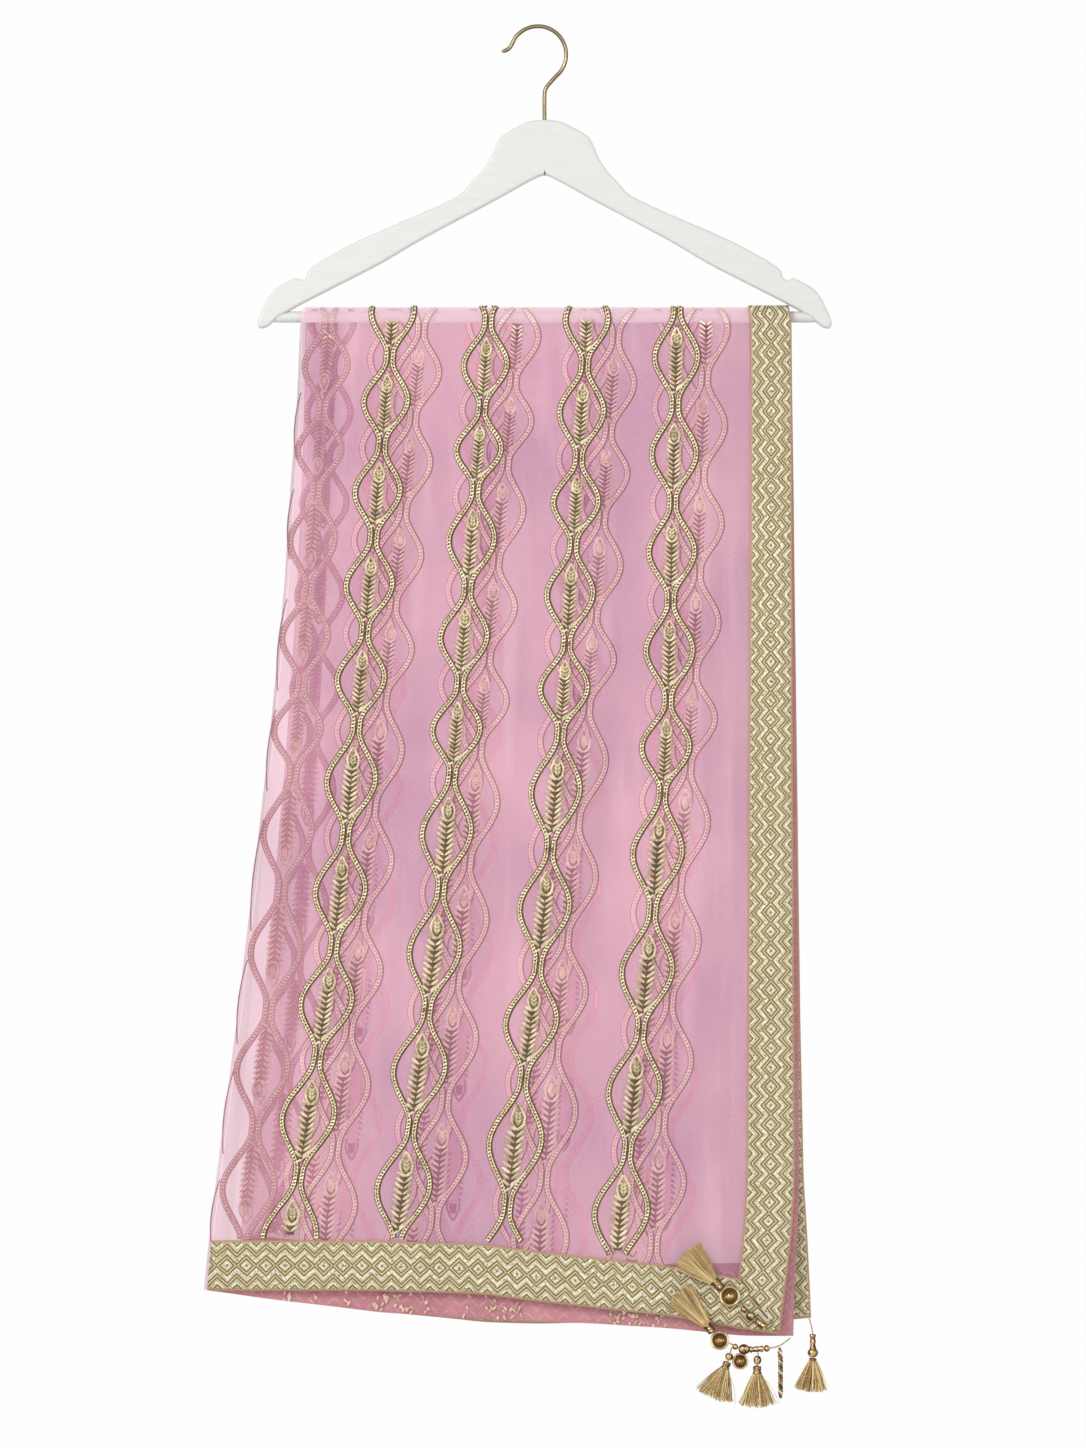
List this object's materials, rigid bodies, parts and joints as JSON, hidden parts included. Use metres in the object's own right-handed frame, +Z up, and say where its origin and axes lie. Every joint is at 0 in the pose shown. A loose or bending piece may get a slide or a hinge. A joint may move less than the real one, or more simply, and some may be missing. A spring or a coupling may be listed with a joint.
{
  "type": "dupatta stole on a clothes hanger",
  "caption": "Sheer embroidered stole with a lace border and beaded corner tassels, folded lengthwise and hung over the bar of a flat wooden hanger.",
  "frame": {"origin": "where a rail touches the inside top of the hanger's hook", "axes": "+Z up along the hanging cloth, -Y the front of the stole, +X to the right seen from the front"},
  "size_m": [0.5024, 0.0363, 1.1059],
  "materials": {
    "painted_wood": "smooth white paint",
    "brass_wire": "antique brushed",
    "organza": "sheer plain weave",
    "gold_lace": "metallic woven trim",
    "gold_cord": "metallic embroidery cord",
    "tassel_thread": "silky ochre thread",
    "antique_gold": "polished with dark hollows"
  },
  "bodies": {
    "root": {"hanger_body": "painted_wood", "hanger_bar": "painted_wood", "hanger_hook": "brass_wire", "front_outer": "organza", "front_inner": "organza", "back_inner": "organza", "back_outer": "organza", "front_outer_lace_side": "gold_lace", "front_outer_lace_hem": "gold_lace", "front_inner_lace_side": "gold_lace", "front_inner_lace_hem": "gold_lace", "back_inner_lace_side": "gold_lace", "back_inner_lace_hem": "gold_lace", "back_outer_lace_side": "gold_lace", "back_outer_lace_hem": "gold_lace", "cord_front_a_left": "gold_cord", "cord_front_a_right": "gold_cord", "cord_front_b_left": "gold_cord", "cord_front_b_right": "gold_cord", "cord_front_c_left": "gold_cord", "cord_front_c_right": "gold_cord", "cord_front_d_left": "gold_cord", "cord_front_d_right": "gold_cord", "cord_back_a_left": "gold_cord", "cord_back_a_right": "gold_cord", "cord_back_b_left": "gold_cord", "cord_back_b_right": "gold_cord", "cord_back_c_left": "gold_cord", "cord_back_c_right": "gold_cord", "cord_back_d_left": "gold_cord", "cord_back_d_right": "gold_cord", "medallion_front": "antique_gold", "medallion_inner": "antique_gold", "medallion_low": "antique_gold", "bead_string_front": "antique_gold", "bead_string_inner": "antique_gold", "bead_string_back": "antique_gold", "bead_drop_left": "antique_gold", "bead_drop_middle": "antique_gold", "braid_drop": "antique_gold", "tassel_front": "tassel_thread", "tassel_inner": "tassel_thread", "tassel_left": "tassel_thread", "tassel_middle": "tassel_thread", "tassel_back": "tassel_thread"}
  },
  "joints": []
}
